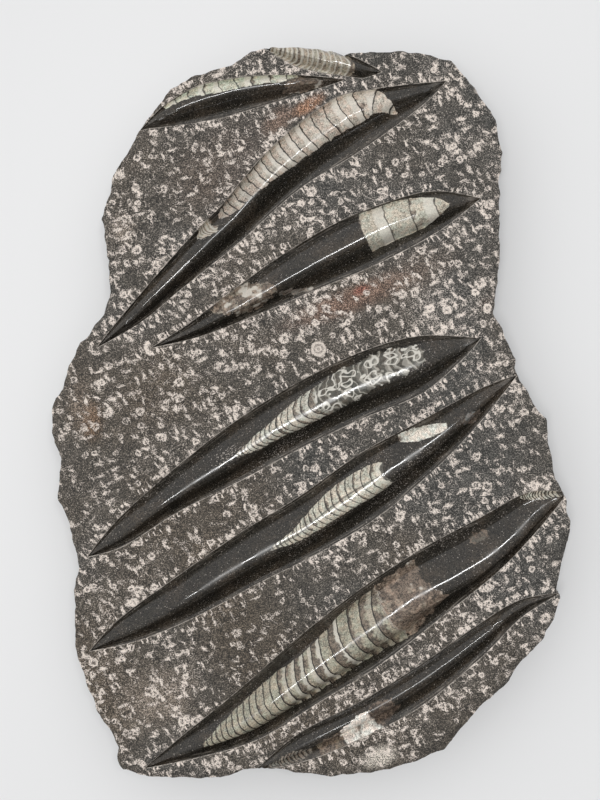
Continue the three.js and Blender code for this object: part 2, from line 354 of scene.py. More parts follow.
# Where pecking left more pale dust on the stone, or less of it below 0, in the same form without the colour.
DUST = [
    (84, 108, 16, 9, -70, 0.7), (30, -150, 7, 4, 20, 0.9), (55, 42, 26, 14, 20, 0.9),
    (-22, 80, 16, 9, 40, 0.6), (-57, 62, 14, 8, 40, 0.4), (98, -40, 10, 14, 0, 0.7),
    (66, -92, 16, 6, 35, 0.5), (0, 136, 18, 4, 30, 0.4), (-72, -122, 16, 10, 25, 0.6),
    (100, -122, 8, 8, 0, 0.4), (82, -56, 8, 8, 0, 0.4), (-12, -92, 36, 20, 35, -0.9),
    (-35, -118, 22, 12, 40, -0.7), (-35, -42, 34, 9, 30, -0.7), (-75, -55, 26, 8, 35, -0.4),
    (10, -140, 40, 7, 25, -0.6), (85, 14, 8, 6, 0, -0.5), (-105, 10, 8, 20, 0, -0.3),
    (28, 153, 8, 5, 0, -0.7), (60, -143, 12, 8, 30, -0.6),
]

# Where the black stone is crowded with small shell crumbs, in the same form.
CRUMBS = [
    (-36, -19, 9, 4, 32, 1.0), (-12, -15, 22, 3, 35, 0.7), (0, -53, 24, 4.5, 35, 0.8),
    (36, -32, 14, 5, 38, 0.6), (-74, -135, 12, 5, 30, 0.5), (-37, 52, 26, 4, 35, 0.5),
    (12, 96, 26, 5, 36, 0.4), (-30, 48, 12, 5, 25, 0.8), (62, -52, 18, 6, 38, 0.4),
    (50, -18, 16, 5, 32, 0.5), (-62, -30, 22, 6, 36, 0.25), (44, 20, 14, 6, 20, 0.5),
]


# ---------------------------------------------------------------------------------------------------
# Plan: curves, and distances in the plane
# ---------------------------------------------------------------------------------------------------


def spline(points, per_span=14):
    """The Catmull-Rom curve through the points, as the CAD draws the rims."""
    p = np.array(points, float)
    p = np.vstack([p[:1], p, p[-1:]])
    t = np.linspace(0, 1, per_span, endpoint=False)[:, None]
    spans = []
    for a, b, c, d in zip(p, p[1:], p[2:], p[3:]):
        leave, arrive = (c - a) / 2, (d - b) / 2
        spans.append((2 * b - 2 * c + leave + arrive) * t**3 + (-3 * b + 3 * c - 2 * leave - arrive) * t**2
                     + leave * t + b)
    return np.vstack([*spans, p[-1:]])


def travel(curve):
    """Distance along the curve at each of its points."""
    steps = np.linalg.norm(np.diff(curve[:, :2], axis=0), axis=1)
    return np.concatenate([[0], np.cumsum(steps)])


def spaced(curve, count):
    """The same curve as count points at equal distances."""
    along = travel(curve)
    wanted = np.linspace(0, along[-1], count)
    return np.column_stack([np.interp(wanted, along, column) for column in curve.T])


def inside(points, ring):
    """True for each point that lies in the closed ring."""
    x, y = points[:, 0], points[:, 1]
    odd = np.zeros(len(points), bool)
    for (x0, y0), (x1, y1) in zip(ring, np.roll(ring, -1, axis=0)):
        if y0 == y1:
            continue
        crosses = (y0 > y) != (y1 > y)
        odd ^= crosses & (x < (x1 - x0) * (y - y0) / (y1 - y0) + x0)
    return odd


def smoothstep(value, low, high):
    t = np.clip((value - low) / (high - low), 0, 1)
    return t * t * (3 - 2 * t)


class Nearest:
    """Finds the nearest of many plan points."""

    def __init__(self, points):
        self.tree = kdtree.KDTree(len(points))
        for i, (x, y) in enumerate(points):
            self.tree.insert((x, y, 0), i)
        self.tree.balance()

    def find(self, points):
        """Index of and distance to the nearest point, for each of the points."""
        found = [self.tree.find((x, y, 0)) for x, y in points]
        return np.array([f[1] for f in found]), np.array([f[2] for f in found])

    def within(self, point, radius):
        return [hit[1] for hit in self.tree.find_range((point[0], point[1], 0), radius)]


def scallop(point, size):
    """0 in the middle of a chip scar and 1 on the ridge between scars, for a point in millimetres."""
    distances = noise.voronoi(Vector(point) / size)[0]
    return min(1, distances[0] / 0.75)


def rough(point, size, octaves=3):
    """Smooth noise from about -1 to 1."""
    return noise.fractal(Vector(point) / size, 0.9, 2.0, octaves)


def rough_over(points, level, size, octaves=3):
    """The same noise at each plan point, in its slice at the given level."""
    return np.array([rough((x, y, level), size, octaves) for x, y in points])


# ---------------------------------------------------------------------------------------------------
# Relief
# ---------------------------------------------------------------------------------------------------


def swell(share):
    return np.sin(math.pi * np.clip(share, 0, 1)) ** TIP_TAPER


def relief_stations(hollow, share):
    """Where the far valley, crest and near valley lie across the hollow, at a share of its length."""
    crest = np.interp(share, np.linspace(0, 1, len(hollow["crest"])), hollow["crest"])
    return crest * hollow["far_wall"], crest, crest + hollow.get("near_valley", NEAR_VALLEY) * (1 - crest)


def ridge_drop(share, rounding):
    """Drop from a broad ridge: 0 at the crest and 1 at the foot, curving for the given share of its flank
    and then even."""
    drop = np.where(share < rounding, share**3 / (3 * rounding**2), share - 2 * rounding / 3)
    return drop / (1 - 2 * rounding / 3)


def relief(hollow, share, across):
    """Height against the stone's top, in millimetres, at a share of the length and of the width."""
    far_valley, crest, near_valley = relief_stations(hollow, share)
    near_floor = -HOLLOW_LIP - (hollow["depth"] - HOLLOW_LIP) * swell(share)
    far_floor = -HOLLOW_LIP + (near_floor + HOLLOW_LIP) * hollow.get("far_depth", FAR_DEPTH)
    rise = smoothstep(share, 0.0, LEFT_RISE) * smoothstep(1 - share, 0.0, RIGHT_RISE)
    crest_height = far_floor * TIP_CREST * (1 - rise) + SHELL_PROUD * rise
    far_wall = np.clip(across / far_valley, 0, 1)
    near_wall = np.clip((1 - across) / (1 - near_valley), 0, 1)
    far_flank = np.clip((across - far_valley) / (crest - far_valley), 0, 1)
    near_flank = np.clip((near_valley - across) / (near_valley - crest), 0, 1)
    far_side = -HOLLOW_LIP + (far_floor + HOLLOW_LIP) * (1 - (1 - far_wall) ** FAR_WALL_CURVE)
    far_side += (crest_height - far_floor) * (1 - ridge_drop(1 - far_flank, FAR_ROUNDING))
    near_side = -HOLLOW_LIP + (near_floor + HOLLOW_LIP) * near_wall**NEAR_WALL_CURVE
    near_side += (crest_height - near_floor) * (1 - ridge_drop(1 - near_flank, NEAR_ROUNDING))
    return np.where(across < crest, far_side, near_side)


# ---------------------------------------------------------------------------------------------------
# Plan points: slab edge, hollows, stone
# ---------------------------------------------------------------------------------------------------

def moved_along(ring, shift):
    """The points of a closed ring after each has moved shift millimetres along it."""
    closed = np.vstack([ring, ring[:1]])
    at = travel(closed)
    wanted = (at[:-1] + shift) % at[-1]
    return np.column_stack([np.interp(wanted, at, column) for column in closed.T])


def outward_normals(ring, reach=3):
    """Unit normals of a clockwise ring, smoothed over its neighbours."""
    ahead = moved_along(ring, reach) - moved_along(ring, -reach)
    normal = np.column_stack([-ahead[:, 1], ahead[:, 0]])
    return normal / np.linalg.norm(normal, axis=1)[:, None]


def edge_ring():
    """The slab's edge as evenly spaced points, with small chips and waves."""
    corners = np.array(SLAB_EDGE + SLAB_EDGE[:1], float)
    ring = spaced(corners, round(travel(corners)[-1] / EDGE_STEP) + 1)[:-1]
    chips = np.array([1.1 * (scallop((x, y, 20), 9) - 0.7) for x, y in ring])
    waves = 0.9 * rough_over(ring, 4, 11, 2) + 0.25 * rough_over(ring, 0, 2.6)
    return ring + outward_normals(ring) * (chips + waves - EDGE_INSET)[:, None]


def hollow_grid(hollow):
    """Plan points of a hollow with their share of its length and width, and its crease lines."""
    far, near = spline(hollow["far"]), spline(hollow["near"])
    count = round(max(travel(far)[-1], travel(near)[-1]) / RIM_STEP) + 1
    far, near = spaced(far, count), spaced(near, count)
    points, shares = [], []
    lines = [[] for _ in range(5)]
    for i in range(count):
        share = i / (count - 1)
        nodes, marks = [0.0], [0]
        if i in (0, count - 1):
            marks = [0] * 5
        else:
            stations = [0, *relief_stations(hollow, share), 1]
            width = np.linalg.norm(near[i] - far[i])
            for low, high in zip(stations, stations[1:]):
                cuts = max(1, round((high - low) * width / ACROSS_STEP))
                nodes.extend(low + (high - low) * (k + 1) / cuts for k in range(cuts))
                marks.append(len(nodes) - 1)
        for line, mark in zip(lines, marks):
            line.append(len(points) + mark)
        points.extend(far[i] + (near[i] - far[i]) * node for node in nodes)
        shares.extend((share, node) for node in nodes)
    return np.array(points), np.array(shares), lines


def stone_points(edge, rims, rim_rings):
    """Jittered hexagonal grid over the stone, clear of the edge, the rims and the hollows."""
    random = np.random.default_rng(SEED)
    low, high = edge.min(0), edge.max(0)
    rows = np.arange(low[1], high[1], STONE_STEP * math.sqrt(0.75))
    columns = np.arange(low[0], high[0], STONE_STEP)
    grid = np.array([(x + STONE_STEP / 2 * (k % 2), y) for k, y in enumerate(rows) for x in columns])
    grid += random.uniform(-JITTER, JITTER, grid.shape)
    grid = grid[inside(grid, edge)]
    for ring in rim_rings:
        grid = grid[~inside(grid, ring)]
    clear = Nearest(np.vstack([edge, rims])).find(grid)[1] > CLEAR_OF_RIM
    return grid[clear]


# ---------------------------------------------------------------------------------------------------
# Slab mesh
# ---------------------------------------------------------------------------------------------------


def triangulate(points, edges):
    """Delaunay triangles of plan points that keep the given edges.

    Returns the points, the triangles and, for each point, the number of the given point it came from
    (-1 for a point where two given edges cross)."""
    plan = [Vector(point) for point in points.tolist()]
    coordinates, _, faces, sources = delaunay_2d_cdt(plan, edges, [], 0, 1e-6)[:4]
    origin = np.array([source[0] if source else -1 for source in sources])
    return np.array([tuple(v) for v in coordinates]), np.array(faces), origin


def chain(line):
    return [(a, b) for a, b in zip(line, line[1:]) if a != b]


def boundary_loop(triangles):
    """The vertices round the outside of a patch of triangles, in the triangles' turning sense."""
    sides = np.vstack([triangles[:, [0, 1]], triangles[:, [1, 2]], triangles[:, [2, 0]]]).tolist()
    directed = set(map(tuple, sides))
    after = {a: b for a, b in directed if (b, a) not in directed}
    start = min(after)
    loop = [start]
    while after[loop[-1]] != start:
        loop.append(after[loop[-1]])
    return loop


def facing(points, triangles, up):
    """The triangles, each turned so that it faces up, or down if up is False."""
    corners = points[triangles]
    ahead, aside = corners[:, 1] - corners[:, 0], corners[:, 2] - corners[:, 0]
    faces_up = ahead[:, 0] * aside[:, 1] - ahead[:, 1] * aside[:, 0] > 0
    return np.where((faces_up == up)[:, None], triangles, triangles[:, ::-1])


def drop_unused(triangles, *arrays):
    used, renumbered = np.unique(triangles, return_inverse=True)
    return (renumbered.reshape(triangles.shape), *[array[used] for array in arrays])


def plan_of_top():
    """Triangles of the top face in plan. Every vertex knows its hollow, or -1, and its place in it."""
    edge = edge_ring()
    grids = [hollow_grid(hollow) for hollow in HOLLOWS.values()]
    rim_rings = [np.vstack([grid[lines[0]], grid[lines[4]][-2:0:-1]]) for grid, _, lines in grids]
    rims = np.vstack(rim_rings)
    stone = stone_points(edge, rims, rim_rings)

    blocks = [edge, *[grid for grid, _, _ in grids], stone]
    starts = np.cumsum([0, *[len(block) for block in blocks]])
    in_hollow_points = np.vstack([grid for grid, _, _ in grids])
    in_hollow_shares = np.vstack([shares for _, shares, _ in grids])
    in_hollow_owner = np.repeat(range(len(grids)), [len(grid) for grid, _, _ in grids])
    owner = np.concatenate([np.full(len(edge), -1), in_hollow_owner, np.full(len(stone), -1)])
    share = np.vstack([np.zeros((len(edge), 2)), in_hollow_shares, np.zeros((len(stone), 2))])
    edges = chain([*range(len(edge)), 0])
    for (_, _, lines), start in zip(grids, starts[1:]):
        for line in lines:
            edges += chain([start + i for i in line])
    points, triangles, origin = triangulate(np.vstack(blocks), edges)

    owner = np.where(origin >= 0, owner[origin], -1)
    share = np.where(origin[:, None] >= 0, share[origin], 0)
    loose = np.flatnonzero((origin < 0) | (origin < len(edge)))
    closest, _ = Nearest(in_hollow_points).find(points[loose])
    for ring in rim_rings:
        covered = inside(points[loose], ring)
        owner[loose[covered]] = in_hollow_owner[closest[covered]]
        share[loose[covered]] = in_hollow_shares[closest[covered]]

    triangles = triangles[inside(points[triangles].mean(axis=1), edge)]
    triangles = facing(points, triangles, up=True)
    triangles, points, owner, share = drop_unused(triangles, points, owner, share)
    return dict(points=points, triangles=triangles, owner=owner, share=share, edge=edge, rims=rims)


def lean_of_rims(points, rims):
    """Direction square to the nearest rim, and distance to it, for plan points."""
    nearest, distance = Nearest(rims).find(points)
    away = points - rims[nearest]
    return np.arctan2(away[:, 1], away[:, 0]), distance


def peck_field(points, owner, rims):
    """How strongly each stone vertex is pecked, from 0 to about 1.

    Marks are strokes and blobs. Near a rim the strokes stand square to it. Elsewhere they lean at random
    about one direction on the left of the slab, and about another on the rest."""
    random = np.random.default_rng(SEED + 1)
    stone = np.flatnonzero(owner < 0)
    tree = Nearest(points[stone])
    count = int(len(stone) * STONE_STEP**2 * math.sqrt(0.75) / PECK_AREA)
    centres = points[stone[random.integers(0, len(stone), count)]]
    lean, rim_distance = lean_of_rims(centres, rims)
    field = np.zeros(len(points))
    for centre, angle, distance in zip(centres, lean, rim_distance):
        crowding = rough((*centre, 0), 26, 2)
        if random.random() > 0.72 + 0.5 * crowding and distance > RIM_MARKS:
            continue
        if distance < RIM_MARKS:
            turn = angle + random.normal(0, 0.5)
        else:
            chisel = LEFT_LEAN if centre[0] < LEFT_PART else RIGHT_LEAN
            turn = math.radians(chisel) + random.normal(0, 0.8)
        is_blob = random.random() < 0.4
        along = random.uniform(0.7, 1.4) if is_blob else random.uniform(1.0, 2.6)
        across = random.uniform(0.6, 1.2) if is_blob else random.uniform(0.42, 0.75)
        strength = random.uniform(0.35, 1.0)
        hits = tree.within(centre, 1.7 * along)
        if not hits:
            continue
        chosen = stone[hits]
        away = points[chosen] - centre
        cos, sin = math.cos(turn), math.sin(turn)
        u = (away[:, 0] * cos + away[:, 1] * sin) / along
        v = (-away[:, 0] * sin + away[:, 1] * cos) / across
        mark = strength * np.clip(1.45 - np.hypot(u, v), 0, 1.2)
        field[chosen] = np.maximum(field[chosen], mark)
    return field


def unit(vector):
    return vector / np.linalg.norm(vector)


def shell_coordinates(points, shell):
    """For plan points: depth inside the shell, chambers counted from its narrow end, their length, distance
    from the middle line, and share of the way along it. Depth, length and distance are millimetres."""
    curve = spaced(spline(shell["spine"]), SPINE_POINTS)
    length = travel(curve)[-1]
    lead = SPINE_REACH * unit(curve[1, :2] - curve[0, :2])
    tail = SPINE_REACH * unit(curve[-1, :2] - curve[-2, :2])
    before = [*(curve[0, :2] - lead), curve[0, 2]]
    after = [*(curve[-1, :2] + tail), curve[-1, 2]]
    curve = np.vstack([before, curve, after])
    start, step = curve[:-1, :2], np.diff(curve[:, :2], axis=0)
    size = np.linalg.norm(step, axis=1)
    away = points[:, None, :] - start[None]
    part = np.clip((away * step[None]).sum(2) / size**2, 0, 1)
    offset = away - part[:, :, None] * step[None]
    which = np.linalg.norm(offset, axis=2).argmin(1)
    row = np.arange(len(points))
    part, offset = part[row, which], offset[row, which]
    side = np.sign(step[which, 0] * away[row, which, 1] - step[which, 1] * away[row, which, 0])
    off_axis = side * np.linalg.norm(offset, axis=1)
    along = np.cumsum([0, *size])[which] + part * size[which] - SPINE_REACH
    half = np.interp(along, travel(curve) - SPINE_REACH, curve[:, 2])

    along = along + shell["bulge"] * half * np.clip(1 - (off_axis / half) ** 2, -0.5, 1)
    along = along - shell["lean"] * off_axis
    first, last = shell["chambers"]
    chamber = np.clip(first + (last - first) * along / length, min(first, last), max(first, last))
    if first == last:
        count = along / first
    else:
        count = np.where(along > 0, length / (last - first) * np.log(chamber / first), along / first)
    depth = np.minimum(half - np.abs(off_axis), np.minimum(along, length - along + 0.2 * half))
    share = np.clip(along / length, 0, 1)
    return dict(depth=depth, count=count, chamber=chamber, off_axis=off_axis, along=share)


# Attributes of vertices that are far from every shell.
NO_SHELL = dict(
    shell=-50.0, chambers=0.5, chamber_mm=60.0, mud=0.0, wall=0.0, scramble=0.0, net=0.0, tube=50.0,
)


def shell_fields(points, owner):
    """Per-vertex shell attributes. Outside every shell the nearest one's values carry on."""
    fields = {name: np.full(len(points), value) for name, value in NO_SHELL.items()}
    tint = np.tile(np.array([*SILVER, 1.0]), (len(points), 1))
    for number, hollow in enumerate(HOLLOWS):
        there = np.flatnonzero(owner == number)
        for shell in SHELLS[hollow]:
            shell = {**PLAIN_PATCH, **shell}
            found = shell_coordinates(points[there], shell)
            better = found["depth"] > fields["shell"][there]
            put, take = there[better], {key: value[better] for key, value in found.items()}
            fields["shell"][put] = take["depth"]
            fields["chambers"][put] = take["count"]
            fields["chamber_mm"][put] = take["chamber"]
            fields["mud"][put] = np.interp(take["along"], [0, 1], shell["mud"])
            for name in ("wall", "scramble", "net"):
                fields[name][put] = shell[name]
            fields["tube"][put] = take["off_axis"] if shell["tube"] else NO_SHELL["tube"]
            bright = np.interp(take["along"], [0, 1], [shell["fade"], 1])
            tint[put, :3] = np.array(shell["tint"]) * bright[:, None]
    return fields, tint


def patch_strength(points, x, y, along, across, turn, strength):
    """How strongly an oval patch with a soft edge covers each point."""
    cos, sin = math.cos(math.radians(turn)), math.sin(math.radians(turn))
    u = ((points[:, 0] - x) * cos + (points[:, 1] - y) * sin) / along
    v = (-(points[:, 0] - x) * sin + (points[:, 1] - y) * cos) / across
    return strength * (1 - smoothstep(np.hypot(u, v), 0.3, 1.3))


def stone_tint(points):
    """Colour of the unpecked stone: dark grey, browner to the left and the bottom, with the stains."""
    dark, brown = np.array(STONE_DARK), np.array(STONE_BROWN)
    warm = 0.35 + 0.5 * rough_over(points, 11, 45) - 0.0022 * points[:, 0] - 0.0012 * points[:, 1]
    colour = dark + (brown - dark) * np.clip(warm, 0, 1)[:, None]
    for *patch, stain in STAINS:
        colour += (np.array(stain) - colour) * patch_strength(points, *patch)[:, None]
    return np.column_stack([colour, np.ones(len(points))])


def top_heights(top, rim, peck):
    """Height of every vertex of the top face."""
    points, owner, share = top["points"], top["owner"], top["share"]
    dense_edge = spaced(np.vstack([top["edge"], top["edge"][:1]]), len(top["edge"]) * 3)
    edge_distance = Nearest(dense_edge).find(points)[1]
    height = np.zeros(len(points))
    for number, hollow in enumerate(HOLLOWS.values()):
        mine = owner == number
        height[mine] = relief(hollow, share[mine, 0], share[mine, 1])
    hand_ground = 0.16 * rough_over(points, 7, 22, 2) + 0.05 * rough_over(points, 3, 7, 2)
    height += np.where(owner >= 0, hand_ground * smoothstep(rim, 0, 3), 0)
    undulation = 0.28 * rough_over(points, 5, 30, 2) + 0.22 * rough_over(points, 9, 5)
    bruised = BRUISE_DEPTH * peck + RIM_BRUISE * (1 - smoothstep(-rim, 0, 1.2))
    height += np.where(owner < 0, undulation * smoothstep(-rim, 0, 3) - bruised, 0)
    drop = np.maximum(0.2, 1.0 + 1.6 * rough_over(points, 2, 14, 2))
    height -= drop * (1 - smoothstep(edge_distance, 0, EDGE_ROUNDING)) ** 2
    return STONE_TOP + height


def broken_side(top_points, loop):
    """Rings of vertices down the broken side from the edge of the top face to the underside."""
    rim = top_points[loop[::-1]]
    plan = rim[:, :2]
    soft = np.mean([moved_along(plan, shift) for shift in np.linspace(-9, 9, 13)], axis=0)
    normal = outward_normals(soft, 6)
    rings = []
    for down, out in SIDE_RINGS:
        lean = smoothstep(down, 0, 0.8)
        scarred = 4 * down * (1.15 - down)
        ring = []
        for (x, y, z), middle, way in zip(rim, soft, normal):
            level = z * (1 - down)
            big_scar = CHIP_DEPTH * (scallop((x, y, 1.6 * level), 10) - 0.8)
            small_scar = 0.9 * scallop((x, y, 1.3 * level), 4) - 0.7
            shift = out + scarred * (big_scar + small_scar + 0.5 * rough((x, y, level), 2.5))
            base = np.array((x, y)) * (1 - lean) + middle * lean
            ring.append((*(base + way * shift), level))
        rings.append(np.array(ring[::-1]))
    return rings


def underside(ring):
    """Triangles of the flat underside, facing down, and its extra plan points."""
    low, high = ring.min(0), ring.max(0)
    grid = np.array([(x, y) for x in np.arange(low[0], high[0], BOTTOM_STEP)
                     for y in np.arange(low[1], high[1], BOTTOM_STEP)])
    grid = grid[inside(grid, ring)]
    grid = grid[Nearest(ring).find(grid)[1] > BOTTOM_STEP / 3]
    points, triangles, origin = triangulate(np.vstack([ring, grid]), chain([*range(len(ring)), 0]))
    triangles = triangles[inside(points[triangles].mean(axis=1), ring)]
    return grid, origin[facing(points, triangles, up=False)]


def top_fields(top):
    """Attributes of the top face's vertices, and the colour of the shells there."""
    points, owner = top["points"], top["owner"]
    nearest_rim, distance = Nearest(top["rims"]).find(points)
    fields, tint = shell_fields(points, owner)
    fields.update(
        rim=distance * np.where(owner >= 0, 1, -1),
        rim_run=nearest_rim * RIM_STEP,
        run=top["share"][:, 0] * HOLLOW_LENGTH,
        peck=peck_field(points, owner, top["rims"]),
        crumbs=np.max([patch_strength(points, *patch) for patch in CRUMBS], axis=0),
        dust=np.sum([patch_strength(points, *patch) for patch in DUST], axis=0),
    )
    return fields, tint


def bands(rows):
    """Triangles between each closed row of vertex numbers and the next row down."""
    triangles = []
    for upper, lower in zip(rows, rows[1:]):
        upper_next, lower_next = np.roll(upper, -1), np.roll(lower, -1)
        triangles.append(np.column_stack([upper, lower, upper_next]))
        triangles.append(np.column_stack([upper_next, lower, lower_next]))
    return np.vstack(triangles)


def slab_arrays():
    """Vertices, triangles, attributes, colours and the map for baked textures."""
    top = plan_of_top()
    fields, shell_tint = top_fields(top)
    upper = np.column_stack([top["points"], top_heights(top, fields["rim"], fields["peck"])])
    loop = boundary_loop(top["triangles"])
    rings = broken_side(upper, loop)
    grid, base = underside(rings[-1][:, :2])
    vertices = np.vstack([upper, *rings, np.column_stack([grid, np.zeros(len(grid))])])

    around = len(loop)
    rows = [np.array(loop), *[len(upper) + around * k + np.arange(around) for k in range(len(rings))]]
    triangles = np.vstack([top["triangles"], bands(rows), rows[-1][0] + base])

    below = len(vertices) - len(upper)
    away = dict(NO_SHELL, rim=-50.0)
    for name, values in fields.items():
        fields[name] = np.concatenate([values, np.full(below, away.get(name, 0.0))])
    downs = np.repeat([down for down, _ in SIDE_RINGS], around)
    on_side = 1 - smoothstep(downs, 0, 0.1)
    fields["top"] = np.concatenate([np.ones(len(upper)), on_side, np.zeros(len(grid))])
    fields["sawn"] = (vertices[:, 2] < 0.01).astype(float)
    shell_tint = np.vstack([shell_tint, np.tile([*SILVER, 1.0], (below, 1))])
    colours = dict(stone_tint=stone_tint(vertices[:, :2]), shell_tint=shell_tint)
    uv = bake_layout(vertices, triangles, len(top["triangles"]), around)
    return vertices, triangles, fields, colours, uv


def bake_layout(vertices, triangles, top_count, per_ring):
    """Map for baked textures, as one pair of numbers for each corner of each triangle.

    The top fills the left of the map. The broken side is cut into three strips, and they and the underside
    share the column on the right."""
    low = vertices.min(0)
    span = vertices[:, 1].max() - low[1]
    plan = (vertices[:, :2] - low[:2]) / span
    uv = plan[triangles] * 0.985 + 0.006
    side = np.arange(top_count, top_count + 2 * len(SIDE_RINGS) * per_ring)
    place = side - top_count
    column = place % per_ring
    second = (place // per_ring) % 2
    corner_columns = np.where(second[:, None] == 0, [0, 0, 1], [1, 0, 1]) + column[:, None]
    third = per_ring / 3
    strip = np.minimum(column // third, 2)
    across = (corner_columns - strip[:, None] * third) / third
    height = vertices[triangles[side], 2] / vertices[:, 2].max()
    uv[side, :, 0] = 0.715 + 0.08 * strip[:, None] + 0.07 * height
    uv[side, :, 1] = 0.01 + 0.56 * across
    base = np.arange(top_count + len(side), len(triangles))
    uv[base] = plan[triangles[base]] * 0.4 + [0.712, 0.585]
    return uv


def slab_object():
    """The slab as a Blender object in metres."""
    vertices, triangles, fields, colours, uv = slab_arrays()
    mesh = bpy.data.meshes.new("orthoceras_slab")
    mesh.vertices.add(len(vertices))
    mesh.vertices.foreach_set("co", (vertices * MM).ravel())
    mesh.loops.add(triangles.size)
    mesh.loops.foreach_set("vertex_index", triangles.ravel())
    mesh.polygons.add(len(triangles))
    mesh.polygons.foreach_set("loop_start", np.arange(0, triangles.size, 3))
    mesh.update(calc_edges=True)
    for name, values in fields.items():
        mesh.attributes.new(name, "FLOAT", "POINT").data.foreach_set("value", values)
    for name, values in colours.items():
        mesh.attributes.new(name, "FLOAT_COLOR", "POINT").data.foreach_set("color", values.ravel())
    mesh.uv_layers.new(name="OFBake").data.foreach_set("uv", uv.ravel())
    mesh.shade_smooth()
    mesh.set_sharp_from_angle(angle=math.radians(SHARP_ANGLE))
    mesh.validate()
    return placed("orthoceras_slab", mesh)


# ---------------------------------------------------------------------------------------------------
# Stone material
# ---------------------------------------------------------------------------------------------------


class Wire:
    """An output in a node tree. Signs between wires and numbers add math nodes."""

    def __init__(self, shader, socket):
        self.shader = shader
        self.socket = socket

    def __add__(self, other):
        return self.shader.math("ADD", self, other)

    def __sub__(self, other):
        return self.shader.math("SUBTRACT", self, other)

    def __mul__(self, other):
        return self.shader.math("MULTIPLY", self, other)

    def __truediv__(self, other):
        return self.shader.math("DIVIDE", self, other)

    def band(self, low, high, start=0.0, end=1.0):
        """A smooth step from start to end as the value goes from low to high."""
        inputs = {"Value": self, "From Min": low, "From Max": high, "To Min": start, "To Max": end}
        return self.shader.node("MapRange", inputs, "Result", interpolation_type="SMOOTHSTEP")

    def line(self, half_width, softness):
        """1 where the value is within the half width of 0."""
        size = self.shader.math("ABSOLUTE", self)
        return size.band(half_width - softness, half_width + softness, 1, 0)


class Shader:
    """Adds shader nodes to a node tree, one short call for each. Sizes are millimetres."""

    def __init__(self, tree):
        self.tree = tree
        tree.nodes.clear()

    def node(self, kind, inputs, *outputs, **settings):
        """Adds a node and gives back the outputs asked for: one wire, or a list of several."""
        node = self.tree.nodes.new("ShaderNode" + kind)
        for name, value in settings.items():
            setattr(node, name, value)
        for name, value in inputs.items():
            if isinstance(value, Wire):
                self.tree.links.new(value.socket, node.inputs[name])
            else:
                node.inputs[name].default_value = value
        wires = [Wire(self, node.outputs[output]) for output in outputs]
        return wires[0] if len(wires) == 1 else wires

    def math(self, operation, *values):
        return self.node("Math", dict(enumerate(values)), 0, operation=operation)

    def vector(self, operation, first, second, output="Vector"):
        return self.node("VectorMath", {0: first, 1: second}, output, operation=operation)

    def scale(self, vector, factor):
        return self.node("VectorMath", {0: vector, "Scale": factor}, "Vector", operation="SCALE")

    def stretch(self, vector, turn, factors):
        """The vector turned about Z by so many degrees, then multiplied by the factors."""
        inputs = {"Vector": vector, "Angle": math.radians(turn)}
        rotated = self.node("VectorRotate", inputs, "Vector", rotation_type="Z_AXIS")
        return self.vector("MULTIPLY", rotated, factors)

    def bent(self, place, frequency, detail, reach):
        """The place, moved by noise of so many lumps for each millimetre, by 0 to reach along each axis."""
        inputs = {"Vector": place, "Scale": frequency, "Detail": detail}
        shift = self.node("TexNoise", inputs, "Color")
        return self.node("VectorMath", {0: shift, 1: (reach, reach, reach), 2: place}, "Vector",
                         operation="MULTIPLY_ADD")

    def noise(self, vector, size, detail=2.0, roughness=0.5):
        """Noise from 0 to 1 whose lumps are about size."""
        inputs = {"Vector": vector, "Scale": 1 / size, "Detail": detail, "Roughness": roughness}
        return self.node("TexNoise", inputs, "Fac")

    def cells(self, vector, size, dimensions="2D"):
        """Distance to the nearest of many scattered points, in cells of about size, and the cell's luck."""
        inputs = {"Vector": vector, "Scale": 1 / size}
        return self.node("TexVoronoi", inputs, "Distance", "Color", voronoi_dimensions=dimensions)

    def attribute(self, name, output="Fac"):
        return self.node("Attribute", {}, output, attribute_name=name)

    def mix(self, share, low, high):
        """A colour between two colours."""
        low, high = (value if isinstance(value, Wire) else (*value, 1.0) for value in (low, high))
        return self.node("Mix", {0: share, 6: low, 7: high}, 2, data_type="RGBA")

    def mix_values(self, share, low, high):
        return self.node("Mix", {0: share, 2: low, 3: high}, 0, data_type="FLOAT")


def fossil_limestone():
    """Black limestone: pecked on top and polished in the hollows, with calcite shells and a sawn base."""
    material = bpy.data.materials.new("fossil_limestone")
    material.use_nodes = True
    shader = Shader(material.node_tree)
    place = shader.scale(shader.node("TexCoord", {}, "Object"), 1 / MM)
    grains = (
        shader.noise(place, FINE, 2, 0.6),
        shader.noise(place, GRAIN, 4, 0.75),
        shader.noise(place, MOTTLE, 4, 0.6),
    )
    rim = shader.attribute("rim")
    polished = rim.band(-0.06, 0.06)

    stone, stone_height, stone_gloss = pecked_stone(shader, place, rim, *grains)
    polish, polish_gloss = polished_stone(shader, place, rim, *grains)
    shell, in_shell, shell_height = shell_stone(shader, place, *grains)
    broken, broken_height = broken_stone(shader, place, *grains)

    top_edge = (shader.attribute("top") + grains[1] * 0.5).band(0.45, 0.75)
    on_top = shader.math("MAXIMUM", top_edge, polished)
    top_colour = shader.mix(polished, stone, shader.mix(in_shell, polish, shell))
    top_gloss = shader.mix_values(polished, stone_gloss, polish_gloss)
    top_height = shader.mix_values(polished, stone_height, shell_height * in_shell)
    height = shader.mix_values(on_top, broken_height, top_height)
    surface = shader.node("BsdfPrincipled", {
        "Base Color": shader.mix(on_top, broken, top_colour),
        "Roughness": shader.mix_values(on_top, 0.86, top_gloss),
        "Normal": shader.node("Bump", {"Height": height, "Distance": MM, "Strength": 1.0}, "Normal"),
        "IOR": STONE_IOR,
    }, "BSDF")
    shader.node("OutputMaterial", {"Surface": surface})
    return material


